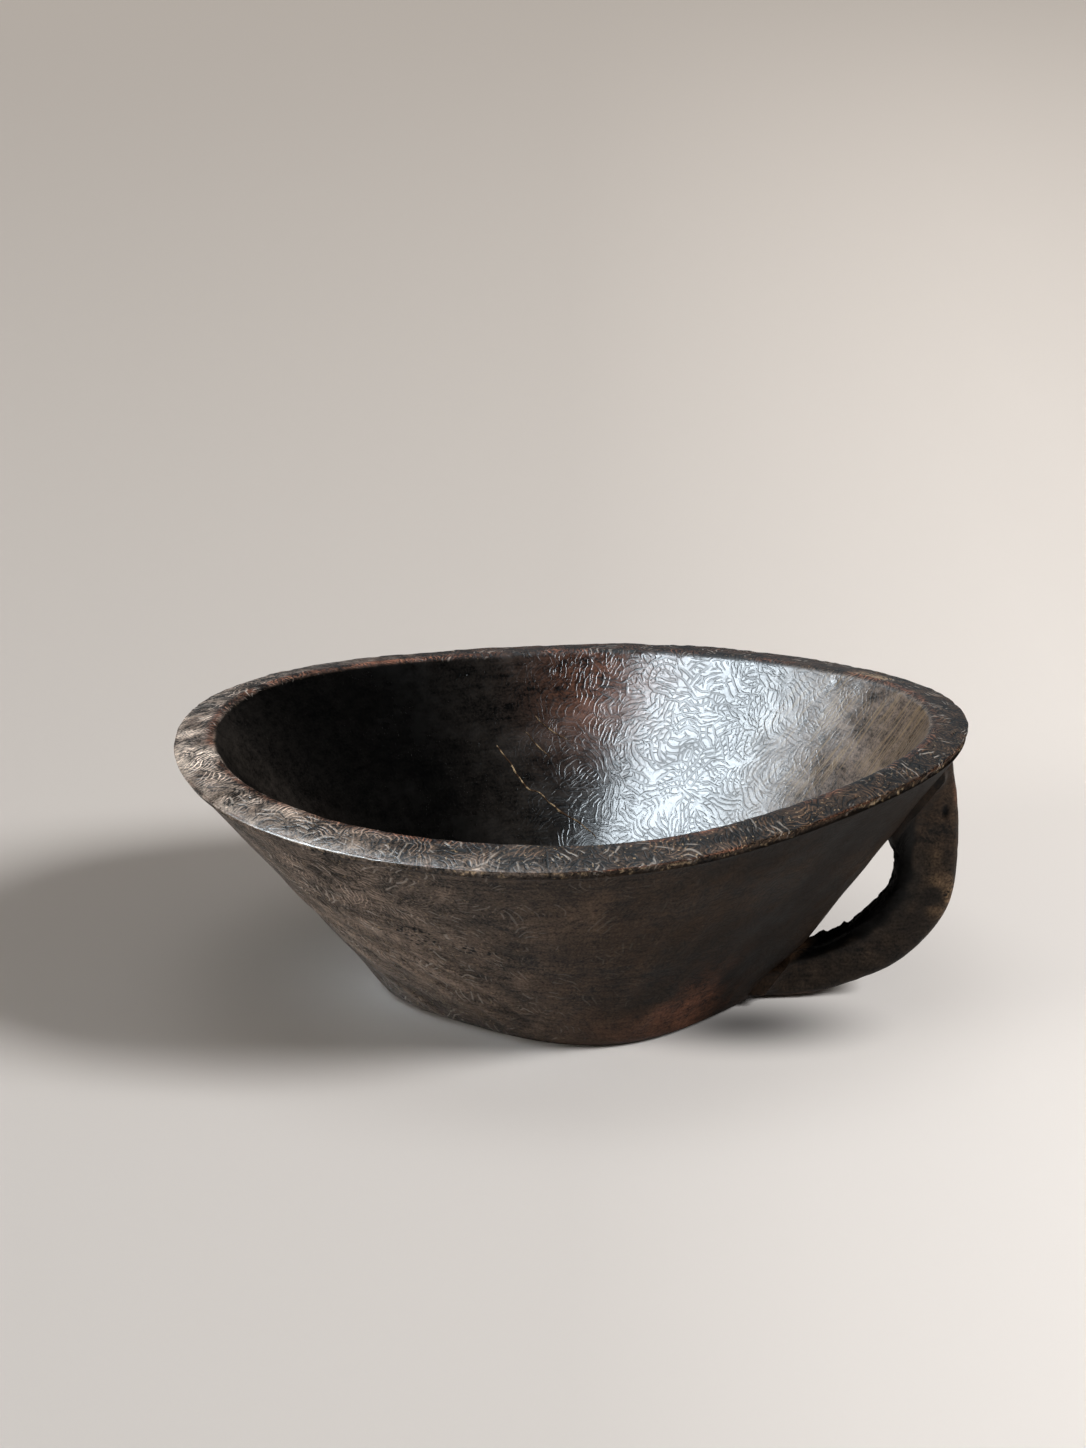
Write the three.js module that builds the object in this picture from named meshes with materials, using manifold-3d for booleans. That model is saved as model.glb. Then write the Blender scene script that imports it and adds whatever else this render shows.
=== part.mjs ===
// A handled bowl carved from one block of dark hardwood, with a loop handle under its lip.
// Millimetres, +Z up. The foot stands on z = 0, the handle points along +X, and the origin is
// below the middle of the bowl's box.
import * as THREE from "three";
import { mergeVertices } from "three/addons/utils/BufferGeometryUtils.js";
import Module from "manifold-3d";

// Rim and mouth
const rimRadius = 167; // mean radius of the lip's outer edge
const rimHeight = 115.4; // mean height of the lip's outer edge
const rimTilt = 1.2; // degrees that the rim rises towards the handle
const rimBackTilt = 0.6; // degrees that it rises towards the back
const rimSaddle = 4.2; // how far the rim's long ends lift and its sides sink, as the wood warped
const lipWidth = 18.1; // mean, from the outer edge to the mouth
const lipRise = 3.8; // how much higher the mouth's edge lies than the outer edge
const lipFrontRise = 2.2; // more rise than that at the front, less at the back
const lipEdge = 3.6; // height of the lip's outer face
const lipOverhang = 3.6; // mean depth of the step under the lip
const lipOverhangSwing = 1.8; // deeper than that on the side away from the handle, less beside it
const lipOverhangAt = 198; // degrees, where the step is deepest

// Foot, walls and hollow
const footRadius = 84.6; // mean
const wallBelly = 0.4; // how far the wall swells out half way up
const wallThickness = 14; // square to the wall, where the hollow turns into its floor
const floorThickness = 14;
const footRound = 6; // length of the rounding at the foot's edge
const lipRound = 1.9;
const mouthRound = 3.4;
const hollowRound = 30; // length of the rounding where the wall turns into the floor

// The outlines are cut by eye. Each lobe swells an outline by a share of its mean, so many
// times round, and at the angle in degrees that comes last.
const rimLobes = [
  { swell: 0.0269, times: 1, at: 166 },
  { swell: 0.0617, times: 2, at: 4 },
  { swell: 0.0156, times: 3, at: 9 },
  { swell: 0.0138, times: 4, at: -6 },
  { swell: 0.0126, times: 5, at: 1 },
];
const lipLobes = [
  { swell: 0.077, times: 1, at: 144 },
  { swell: 0.122, times: 2, at: 38 },
  { swell: 0.072, times: 3, at: 23 },
];
const footLobes = [
  { swell: 0.0473, times: 1, at: 28 },
  { swell: 0.0307, times: 2, at: -14 },
  { swell: 0.0177, times: 3, at: 7 },
  { swell: 0.0508, times: 4, at: 11 },
];

// Handle
const handleOffset = 21; // from the bowl's axis to the front, where the handle's middle plane lies
const handleInset = 2.5; // from the lip's outer edge in to the loop's outermost point
const handleWidth = 28; // seen from the side, at the bend
const handleFootWidth = 19; // the same at the lower root
const handleLipWidth = 25; // the same at the upper root
const handleThickness = 18; // along y, at the bend
const handleRootThickness = 28; // the same at both roots
const handleOuterChamfer = 5;
const handleInnerChamfer = 3.2;
const chamferBulge = 0.3; // share of its size that a chamfer's middle is cut in; 0.5 is flat
const handleClearance = 1; // from the ground to the lower root
const handleCurve = [
  // The middle line as shares of the way out from the foot, and up from the lower root to the lip.
  [-0.3, 0.01],
  [0.16, 0.022],
  [0.45, 0.072],
  [0.77, 0.185],
  [0.96, 0.35],
  [1, 0.55],
  [0.99, 0.77],
  [0.94, 0.96],
];

// Fillings of the cracks that opened in the hollow as the wood dried
const fillWidth = 1.8;
const fillDepth = 2.4; // into the wall
const fillProud = 0.5; // over the wall
const fillTaper = 0.4; // share of the width that is left at both ends
const crackPaths = {
  // Each point is an angle in degrees and a share of the way up from the floor to the mouth.
  crack_fill_long: [[107.8, 0.6], [105.3, 0.52], [101.4, 0.42], [97.7, 0.38], [92.8, 0.31], [86.4, 0.25], [82, 0.2]],
  crack_fill_lower: [[100.4, 0.65], [97.5, 0.58], [95.1, 0.54]],
  crack_fill_upper: [[98, 0.72], [95.7, 0.67], [90.7, 0.61]],
};

const seatGap = 0.3; // between the handle and the bowl, and round each crack filling

const segments = 88; // round the bowl
const handleSteps = 26; // along the handle
const fillSteps = 3; // between two points of a crack's path

const degrees = Math.PI / 180;

// A lobed size at an angle in radians, from its mean.
function lobed(mean, lobes, angle) {
  const swell = (sum, lobe) => sum + lobe.swell * Math.cos(lobe.times * (angle - lobe.at * degrees));
  return mean * lobes.reduce(swell, 1);
}

const rimAt = (angle) => lobed(rimRadius, rimLobes, angle);
const footAt = (angle) => lobed(footRadius, footLobes, angle);
const mouthAt = (angle) => rimAt(angle) - lobed(lipWidth, lipLobes, angle);

// The height of the lip's outer edge at an angle.
function rimHeightAt(angle) {
  const alongX = rimAt(angle) * Math.cos(angle) * Math.tan(rimTilt * degrees);
  const alongY = rimAt(angle) * Math.sin(angle) * Math.tan(rimBackTilt * degrees);
  return rimHeight + alongX + alongY + rimSaddle * Math.cos(2 * angle);
}

// Corners of the bowl's section at one angle, as [radius, height, length of the rounding,
// steps in the rounding]. These run from the foot's middle up the wall to the lip's outer edge.
// A gap makes them so much larger.
function outerCorners(angle, gap = 0) {
  const rim = rimAt(angle) + gap;
  const foot = footAt(angle) + gap;
  const edge = rimHeightAt(angle);
  const under = edge - lipEdge - gap;
  const swing = Math.cos(angle - lipOverhangAt * degrees);
  const wallTop = rim - lipOverhang - lipOverhangSwing * swing;
  return [
    [0, -gap, 0, 0],
    [foot, -gap, footRound, 3],
    [(foot + wallTop) / 2 + wallBelly, under / 2 - wallBelly, footRound, 2],
    [wallTop, under - lipRound, lipRound, 1],
    [rim - lipRound, under, lipRound, 1],
    [rim, edge, lipRound, 2],
  ];
}

// These run on from the mouth's edge down the hollow to its middle.
function innerCorners(angle) {
  const [, [foot], , [wallTop, wallTopHeight], , [, edge]] = outerCorners(angle);
  const flare = (wallTop - foot) / wallTopHeight;
  const hollow = foot + flare * floorThickness - wallThickness * Math.hypot(flare, 1);
  return [
    [mouthAt(angle), edge + lipRise - lipFrontRise * Math.sin(angle), mouthRound, 3],
    [hollow, floorThickness, hollowRound, 5],
    [0, floorThickness, 0, 0],
  ];
}

const bowlCorners = (angle) => [...outerCorners(angle), ...innerCorners(angle)];

// The space that the bowl fills with its hollow, grown by the seat's gap and closed by a cone.
const filledCorners = (angle) => [...outerCorners(angle, seatGap), [0, 2 * rimHeight, 0, 0]];

// The points of a section, with each corner rounded by a parabola, which starts and ends no
// further off than half way to the next corner.
function section(list) {
  const corners = list.map(([x, y]) => new THREE.Vector2(x, y));
  const points = [corners[0]];
  for (let i = 1; i < list.length - 1; i++) {
    const [, , length, steps] = list[i];
    const corner = corners[i];
    const toward = (next) => {
      const way = next.clone().sub(corner);
      return way.setLength(Math.min(length, way.length() / 2)).add(corner);
    };
    const curve = new THREE.QuadraticBezierCurve(toward(corners[i - 1]), corner, toward(corners[i + 1]));
    points.push(...curve.getPoints(steps));
  }
  points.push(corners[corners.length - 1]);
  return points;
}

// A closed surface over rings with equally many points, each ring a closed curve. The first and
// last rings are single points, where the surface closes.
function closedLoft(rings) {
  const first = rings[0][0];
  const last = rings[rings.length - 1][0];
  const body = rings.slice(1, -1);
  const count = body[0].length;
  const points = [first, ...body.flat(), last];
  const at = (ring, i) => 1 + ring * count + (i % count);
  const faces = [];
  for (let i = 0; i < count; i++) {
    faces.push(0, at(0, i + 1), at(0, i));
    for (let ring = 0; ring + 1 < body.length; ring++) {
      faces.push(at(ring, i), at(ring, i + 1), at(ring + 1, i + 1));
      faces.push(at(ring, i), at(ring + 1, i + 1), at(ring + 1, i));
    }
    faces.push(points.length - 1, at(body.length - 1, i), at(body.length - 1, i + 1));
  }
  return new THREE.BufferGeometry().setFromPoints(points).setIndex(faces);
}

// A section that changes with the angle, carried round the axis.
function carried(corners) {
  const angles = Array.from({ length: segments }, (_, i) => (2 * Math.PI * i) / segments);
  const sections = angles.map((angle) => section(corners(angle)));
  const rings = sections[0].map((_, station) =>
    angles.map((angle, i) => {
      const { x, y } = sections[i][station];
      return new THREE.Vector3(x * Math.cos(angle), x * Math.sin(angle), y);
    }),
  );
  return closedLoft(rings);
}

// The handle's middle line in its middle plane, from inside the lower wall to inside the wall
// under the lip.
function handleLine() {
  const rimAngle = Math.atan2(-handleOffset, rimRadius);
  const footX = footAt(Math.atan2(-handleOffset, footRadius)) * Math.cos(rimAngle);
  const rimX = rimAt(rimAngle) * Math.cos(rimAngle);
  const reach = rimX - handleInset - handleWidth / 2;
  const top = rimHeightAt(rimAngle) - lipEdge;
  const low = handleClearance + handleFootWidth / 2;
  const points = handleCurve.map(([out, up]) => {
    const x = THREE.MathUtils.lerp(footX, reach, out);
    return new THREE.Vector3(x, -handleOffset, THREE.MathUtils.lerp(low, top, up));
  });
  return new THREE.CatmullRomCurve3(points);
}

// One section of the handle: a rectangle with its corners cut off, wider cuts on the outside.
function handleSection(width, thickness) {
  const a = width / 2;
  const b = thickness / 2;
  const outer = handleOuterChamfer;
  const inner = handleInnerChamfer;
  const outerCut = outer * chamferBulge;
  const innerCut = inner * chamferBulge;
  return [
    [a - outer, b],
    [a - outerCut, b - outerCut],
    [a, b - outer],
    [a, outer - b],
    [a - outerCut, outerCut - b],
    [a - outer, -b],
    [inner - a, -b],
    [innerCut - a, innerCut - b],
    [-a, inner - b],
    [-a, b - inner],
    [innerCut - a, b - innerCut],
    [inner - a, b],
  ];
}

// The whole loop before it is cut to the bowl. Its width and thickness change along the line.
function handleGeometry() {
  const line = handleLine();
  const sideways = new THREE.Vector3(0, 1, 0);
  const rings = [];
  for (let step = 0; step <= handleSteps; step++) {
    const share = step / handleSteps;
    const middle = line.getPointAt(share);
    const outward = line.getTangentAt(share).cross(sideways);
    const root = (2 * share - 1) ** 4;
    const endWidth = share < 0.5 ? handleFootWidth : handleLipWidth;
    const width = THREE.MathUtils.lerp(handleWidth, endWidth, (2 * share - 1) ** 2);
    const thickness = THREE.MathUtils.lerp(handleThickness, handleRootThickness, root);
    const ring = handleSection(width, thickness).map(([out, side]) =>
      middle.clone().addScaledVector(outward, out).addScaledVector(sideways, side),
    );
    if (step === 0) rings.push([middle]);
    rings.push(ring);
    if (step === handleSteps) rings.push([middle]);
  }
  return closedLoft(rings);
}

// A point on the straight part of the hollow's wall, at an angle and a share of the way up.
function hollowPoint(angle, up) {
  const [[mouth, mouthHeight], [hollow, floorHeight]] = innerCorners(angle);
  const radius = THREE.MathUtils.lerp(hollow, mouth, up);
  const height = THREE.MathUtils.lerp(floorHeight, mouthHeight, up);
  return new THREE.Vector3(radius * Math.cos(angle), radius * Math.sin(angle), height);
}

// The direction straight out of the hollow's wall at an angle.
function hollowNormal(angle) {
  const middle = (side) => hollowPoint(angle + side * degrees, 0.5);
  const upward = hollowPoint(angle, 1).sub(hollowPoint(angle, 0));
  return upward.cross(middle(1).sub(middle(-1))).normalize();
}

// A crack's filling, or the groove that holds it where a gap is given.
function fillingGeometry(path, gap = 0) {
  const points = path.map(([angle, up]) => hollowPoint(angle * degrees, up));
  const curve = new THREE.CatmullRomCurve3(points);
  const steps = fillSteps * (points.length - 1);
  const top = fillProud + gap;
  const shoulder = fillProud / 2 + gap;
  const bottom = -fillDepth - gap;
  const rings = [];
  for (let step = 0; step <= steps; step++) {
    const share = step / steps;
    const tangent = curve.getTangentAt(share);
    const end = step === 0 ? -gap : step === steps ? gap : 0;
    const middle = curve.getPointAt(share).addScaledVector(tangent, end);
    const normal = hollowNormal(Math.atan2(middle.y, middle.x));
    const sideways = tangent.cross(normal).normalize();
    const half = (fillWidth / 2) * THREE.MathUtils.lerp(fillTaper, 1, Math.sin(Math.PI * share)) + gap;
    const outline = [
      [-half / 2, top],
      [half / 2, top],
      [half, shoulder],
      [half, bottom],
      [-half, bottom],
      [-half, shoulder],
    ];
    const ring = outline.map(([side, out]) =>
      middle.clone().addScaledVector(sideways, side).addScaledVector(normal, out),
    );
    if (step === 0) rings.push([middle]);
    rings.push(ring);
    if (step === steps) rings.push([middle]);
  }
  return closedLoft(rings);
}

// Joining and cutting
const wasm = await Module();
wasm.setup();

function solidOf(geometry) {
  const merged = mergeVertices(geometry);
  return new wasm.Manifold(
    new wasm.Mesh({
      numProp: 3,
      vertProperties: merged.attributes.position.array,
      triVerts: new Uint32Array(merged.index.array),
    }),
  );
}

function geometryOf(solid) {
  const mesh = solid.getMesh();
  return new THREE.BufferGeometry()
    .setAttribute("position", new THREE.BufferAttribute(mesh.vertProperties, 3))
    .setIndex(new THREE.BufferAttribute(mesh.triVerts, 1));
}

function named(name, geometry, material) {
  const flat = geometry.toNonIndexed();
  flat.computeVertexNormals();
  const mesh = new THREE.Mesh(flat, material);
  mesh.name = name;
  return mesh;
}

// Materials
const darkWood = new THREE.MeshStandardMaterial({ color: 0x2e2520, roughness: 0.42, metalness: 0 });
const handleWood = new THREE.MeshStandardMaterial({ color: 0x3a332e, roughness: 0.55, metalness: 0 });
const filler = new THREE.MeshStandardMaterial({ color: 0x9a7d58, roughness: 0.8, metalness: 0 });

const grooves = Object.values(crackPaths).map((path) => solidOf(fillingGeometry(path, seatGap)));
const bowl = grooves.reduce((wood, groove) => wood.subtract(groove), solidOf(carried(bowlCorners)));
const handle = solidOf(handleGeometry()).subtract(solidOf(carried(filledCorners)));

const group = new THREE.Group();
group.add(named("bowl", geometryOf(bowl), darkWood));
group.add(named("handle", geometryOf(handle), handleWood));
for (const [name, path] of Object.entries(crackPaths)) {
  group.add(named(name, fillingGeometry(path), filler));
}

export default group;
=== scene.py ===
# A handled bowl carved from one block of dark hardwood, standing on a pale studio floor.
# Metres, +Z up. The handle points along +X, and the camera stands in front, towards -Y.
# Directions round the bowl are degrees from the handle: -90 is in front, and 90 behind.
import itertools
import math

import bpy
import numpy as np
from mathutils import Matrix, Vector
from mathutils.bvhtree import BVHTree


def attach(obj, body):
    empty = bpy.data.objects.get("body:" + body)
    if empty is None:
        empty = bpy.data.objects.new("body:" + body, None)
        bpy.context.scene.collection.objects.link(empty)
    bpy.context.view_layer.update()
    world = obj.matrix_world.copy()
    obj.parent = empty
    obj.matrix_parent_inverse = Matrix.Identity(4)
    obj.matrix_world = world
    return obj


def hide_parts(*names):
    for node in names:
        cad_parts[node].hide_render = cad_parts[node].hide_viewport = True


MM = 0.001
SMALLEST = 1e-7  # metres; a shorter length counts as none

# Rim and mouth
RIM_RADIUS = 167 * MM
RIM_HEIGHT = 115.4 * MM
RIM_TILT = 1.2  # degrees that the rim rises towards the handle
RIM_BACK_TILT = 0.6  # degrees that it rises towards the back
RIM_SADDLE = 4.2 * MM
LIP_WIDTH = 18.1 * MM
LIP_RISE = 3.8 * MM
LIP_FRONT_RISE = 2.2 * MM
LIP_EDGE = 3.6 * MM
LIP_OVERHANG = 3.6 * MM
LIP_OVERHANG_SWING = 1.8 * MM
LIP_OVERHANG_AT = 198  # degrees, where the step under the lip is deepest

# Foot, walls and hollow
FOOT_RADIUS = 84.6 * MM
WALL_BELLY = 0.4 * MM
WALL_THICKNESS = 14 * MM
FLOOR_THICKNESS = 14 * MM
FOOT_ROUND = 6 * MM
LIP_ROUND = 1.9 * MM
MOUTH_ROUND = 3.4 * MM
HOLLOW_ROUND = 30 * MM

# Lobes of the outlines: share of the mean that each adds, times round, and degrees
RIM_LOBES = ((0.0269, 1, 166), (0.0617, 2, 4), (0.0156, 3, 9), (0.0138, 4, -6), (0.0126, 5, 1))
LIP_LOBES = ((0.077, 1, 144), (0.122, 2, 38), (0.072, 3, 23))
FOOT_LOBES = ((0.0473, 1, 28), (0.0307, 2, -14), (0.0177, 3, 7), (0.0508, 4, 11))

# Handle
HANDLE_OFFSET = 21 * MM
HANDLE_INSET = 2.5 * MM
HANDLE_WIDTH = 28 * MM
HANDLE_FOOT_WIDTH = 19 * MM
HANDLE_LIP_WIDTH = 25 * MM
HANDLE_THICKNESS = 18 * MM
HANDLE_ROOT_THICKNESS = 28 * MM
HANDLE_OUTER_CHAMFER = 5 * MM
HANDLE_INNER_CHAMFER = 3.2 * MM
CHAMFER_BULGE = 0.3
HANDLE_CLEARANCE = 1 * MM
HANDLE_CURVE = (
    # Shares of the way out from the foot, and up from the lower root to the lip
    (-0.3, 0.01),
    (0.16, 0.022),
    (0.45, 0.072),
    (0.77, 0.185),
    (0.96, 0.35),
    (1, 0.55),
    (0.99, 0.77),
    (0.94, 0.96),
)
HANDLE_SINK = 1 * MM  # how deep the handle's two roots reach into the wall
ROOT_FLARE = 8 * MM  # radius of the hollow curve where the handle's faces meet the wall
HOLE_CLOSE = 8.2 * MM  # the finger hole's upper end closes where it's narrower than about this
HOLE_OPEN = 4.5 * MM  # how much deeper the finger hole's lower end is cut into the handle

EDGE_WEAR = 9 * MM  # how far from the lip's outer edge wear has rounded it, on the left in front
EDGE_WEAR_DEPTH = 2.6 * MM

# Flutes left by the gouge, low on the wall
FLUTES_AT = 105 * MM  # the wall's radius there
FLUTES_LEAN = 40  # degrees
FLUTE_WIDTH = 4.6 * MM

# Crack fillings: degrees, and share of the way up from the hollow's floor to the mouth
CRACKS = {
    "crack_fill_long": (
        (107.8, 0.6), (105.3, 0.52), (101.4, 0.42), (97.7, 0.38), (92.8, 0.31), (86.4, 0.25), (82, 0.2)
    ),
    "crack_fill_lower": ((100.4, 0.65), (97.5, 0.58), (95.1, 0.54)),
    "crack_fill_upper": ((98, 0.72), (95.7, 0.67), (90.7, 0.61)),
}
FILL_RADIUS = 0.62 * MM

KNOT = np.array((166, -29, 90)) * MM  # a small knot hole near the handle's upper end
KNOT_SIZE = np.array((1.4, 4, 2.6)) * MM

# Mesh density
CURVE_STEPS = 60  # between two given points of a curve
HANDLE_ROWS = 280
HANDLE_COLUMNS = 128
FILL_PITCH = 0.5 * MM
FILL_SIDES = 8
LONG_THREAD = 60  # rows; shorter threads are thinner and darker
COLUMNS = 2048  # round the bowl, at the lip
WALL_PITCH = 1.05 * MM  # width of a face on the walls
LIP_PITCH = 0.52 * MM
FEWEST_COLUMNS = 32

# Colours of the wood, as shares of the light that they return
# Painted shade: near black, put on the hollow's shaded side and bottom, under the lip's step and in holes
PAINTED_SHADE_BLACK = (0.0012, 0.0011, 0.001)
DEEP = (0.011, 0.0093, 0.008)
DARK = (0.0075, 0.0043, 0.0025)
BROWN = (0.05, 0.029, 0.0165)
GREY = (0.195, 0.153, 0.125)
RUST = (0.11, 0.045, 0.026)
TAN = (0.42, 0.31, 0.19)
PALE = (0.54, 0.49, 0.44)
CHARCOAL = (0.012, 0.0095, 0.0075)
OLIVE = (0.16, 0.1, 0.055)

STREAKS_LEAN = math.radians(51)  # slope of the hollow's wall on the right, where pale streaks run down it

# Floor and surroundings
FLOOR_SIZE = 16
FLOOR_CELLS = 160
FLOOR_NEAR = (0.7, 0.68, 0.665)
FLOOR_FAR = (0.56, 0.515, 0.47)
AMBIENT = (0.15, 0.129, 0.106)  # soft light from all round
MIRRORED = (0.03, 0.03, 0.03)  # what the gloss shows of it
LAMP_DISTANCE = 4
PAINTED_SHADOW_MIDDLE = (76, -58, 0)  # mm, middle of a shadow painted on the floor under the handle's root
PAINTED_SHADOW_REACH = (75, 44, 10)

# Camera. The bowl's picture is fitted in a frame of 1086 by 1448 pixels.
FRAME_HEIGHT = 1448
FOCAL_PIXELS = 3000
SENSOR = 36
CAMERA_TILT = 18  # degrees below the horizontal
CAMERA_DISTANCE = 1.35
CAMERA_TARGET = Vector((-0.0002, 0.0012, 0.113))
TARGET_RIGHT = 26.6  # pixels from the frame's middle
TARGET_DOWN = 16


# Small helpers for arrays

def ramp(value, start, end):
    """Rises smoothly from 0 at start to 1 at end."""
    share = np.clip((value - start) / (end - start), 0, 1)
    return share * share * (3 - 2 * share)


def bell(value, middle, width):
    return np.exp(-(((value - middle) / width) ** 2))


def away(degrees, middle):
    """The turn from middle to an angle, between -180 and 180 degrees."""
    return (degrees - middle + 180) % 360 - 180


def toward(turn, direction, width):
    """1 in a direction round the bowl, and less on both sides of it."""
    return bell(away(turn, direction), 0, width)


def mixed(first, second, share):
    share = np.asarray(share)[..., None]
    return np.asarray(first) * (1 - share) + np.asarray(second) * share


def hashed(cells, seed):
    """A random number between -1 and 1 for each whole cell, always the same for one seed."""
    x, y, z = (cells[..., i].astype(np.uint64) for i in range(3))
    bits = x * np.uint64(73856093) ^ y * np.uint64(19349663) ^ z * np.uint64(83492791)
    bits = (bits + np.uint64(seed)) * np.uint64(0x9E3779B97F4A7C15)
    bits ^= bits >> np.uint64(29)
    bits *= np.uint64(0xBF58476D1CE4E5B9)
    bits ^= bits >> np.uint64(32)
    return (bits >> np.uint64(11)).astype(float) / 2**52 - 1


def noise(points, size, seed, stretch=(1, 1, 1)):
    """Smooth noise between about -1 and 1, with features of one size in metres."""
    grid = points / (size * np.array(stretch, float))
    cell = np.floor(grid).astype(np.int64)
    part = grid - cell
    part = part * part * (3 - 2 * part)
    total = np.zeros(len(points))
    for corner in itertools.product((0, 1), repeat=3):
        weight = np.prod(np.where(corner, part, 1 - part), axis=1)
        total += weight * hashed(cell + corner, seed)
    return total


def rough_noise(points, size, seed, layers=3, stretch=(1, 1, 1)):
    """Noise with finer and weaker layers added."""
    return sum(noise(points, size / 2**i, seed + i, stretch) / 2**i for i in range(layers))


def scoops(degrees, along, count, length, lean, seed):
    """Tool marks, 1 in the middle of each and 0 on the ridges between. There are so many marks
    round the bowl, each of one length along the wall, and each row leans on by so many marks."""
    v = along / length
    u = degrees / 360 * count + lean * v
    nearest = np.full(len(u), np.inf)
    for step_u, step_v in itertools.product((-1, 0, 1), repeat=2):
        cell_u = np.floor(u) + step_u
        cell_v = np.floor(v) + step_v
        cells = np.stack([cell_u % count, cell_v, np.zeros(len(u))], axis=-1).astype(np.int64)
        middle_u = cell_u + 0.5 + 0.4 * hashed(cells, seed)
        middle_v = cell_v + 0.5 + 0.4 * hashed(cells, seed + 1)
        nearest = np.minimum(nearest, (u - middle_u) ** 2 + (v - middle_v) ** 2)
    return np.clip(1 - 2 * nearest, 0, 1)


def flutes(turn, along):
    """Long shallow flutes that lean down to the right, between -1 and 1."""
    sideways = np.radians(turn) * FLUTES_AT
    lean = math.radians(FLUTES_LEAN)
    across = along * math.cos(lean) + sideways * math.sin(lean)
    down = sideways * math.cos(lean) - along * math.sin(lean)
    return noise(np.column_stack([across, down, 0 * down]), FLUTE_WIDTH, 3, (1, 8, 1))


def smooth_line(points, count):
    """Evenly spaced points on the centripetal Catmull-Rom curve through a few points."""
    points = np.array(points, float)
    ends = [2 * points[0] - points[1], *points, 2 * points[-1] - points[-2]]
    dense = []
    for four in zip(ends, ends[1:], ends[2:], ends[3:]):
        knots = np.cumsum([0] + [np.linalg.norm(b - a) ** 0.5 for a, b in zip(four, four[1:])])
        for t in np.linspace(knots[1], knots[2], CURVE_STEPS, endpoint=False):
            level = list(four)
            for spans in (((0, 1), (1, 2), (2, 3)), ((0, 2), (1, 3)), ((1, 2),)):
                level = [
                    (a * (knots[hi] - t) + b * (t - knots[lo])) / (knots[hi] - knots[lo])
                    for a, b, (lo, hi) in zip(level, level[1:], spans)
                ]
            dense.append(level[0])
    dense.append(points[-1])
    dense = np.array(dense)
    length = np.concatenate([[0], np.cumsum(np.linalg.norm(np.diff(dense, axis=0), axis=1))])
    at = np.linspace(0, length[-1], count)
    return np.column_stack([np.interp(at, length, dense[:, i]) for i in range(dense.shape[1])])


# The bowl's form, from the same sizes as its solid

def lobed(mean, lobes, angle):
    return mean * (1 + sum(swell * np.cos(times * (angle - math.radians(at))) for swell, times, at in lobes))


def rim_at(angle):
    return lobed(RIM_RADIUS, RIM_LOBES, angle)


def foot_at(angle):
    return lobed(FOOT_RADIUS, FOOT_LOBES, angle)


def rim_height_at(angle):
    along_x = rim_at(angle) * np.cos(angle) * math.tan(math.radians(RIM_TILT))
    along_y = rim_at(angle) * np.sin(angle) * math.tan(math.radians(RIM_BACK_TILT))
    return RIM_HEIGHT + along_x + along_y + RIM_SADDLE * np.cos(2 * angle)


def wall_top_at(angle):
    """Radius and height where the wall meets the step under the lip."""
    swing = LIP_OVERHANG_SWING * np.cos(angle - math.radians(LIP_OVERHANG_AT))
    return rim_at(angle) - LIP_OVERHANG - swing, rim_height_at(angle) - LIP_EDGE - LIP_ROUND


def hollow_corner(angle):
    """Radius where the hollow's wall would meet its floor without the rounding."""
    top, top_height = wall_top_at(angle)
    flare = (top - foot_at(angle)) / top_height
    return foot_at(angle) + flare * FLOOR_THICKNESS - WALL_THICKNESS * np.hypot(flare, 1)


def mouth_corner(angle):
    radius = rim_at(angle) - lobed(LIP_WIDTH, LIP_LOBES, angle)
    return radius, rim_height_at(angle) + LIP_RISE - LIP_FRONT_RISE * np.sin(angle)


def bowl_corners(angle):
    """Radius, height, length of the rounding, rows in it, and rows on to the next corner."""
    rim, foot = rim_at(angle), foot_at(angle)
    top, top_height = wall_top_at(angle)
    mouth, mouth_height = mouth_corner(angle)
    under = rim_height_at(angle) - LIP_EDGE
    return (
        (0, 0, 0, 0, 14),  # middle of the underside
        (foot, 0, FOOT_ROUND, 8, 42),  # foot
        ((foot + top) / 2 + WALL_BELLY, under / 2 - WALL_BELLY, FOOT_ROUND, 4, 46),  # middle of the wall
        (top, top_height, LIP_ROUND, 5, 1),  # step under the lip
        (rim - LIP_ROUND, under, LIP_ROUND, 5, 2),  # lip's lower edge
        (rim, rim_height_at(angle), LIP_ROUND, 7, 30),  # lip's upper edge
        (mouth, mouth_height, MOUTH_ROUND, 9, 84),  # mouth
        (hollow_corner(angle), FLOOR_THICKNESS, HOLLOW_ROUND, 26, 18),  # hollow's corner
        (0, FLOOR_THICKNESS, 0, 0, 0),  # middle of the hollow's floor
    )


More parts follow.
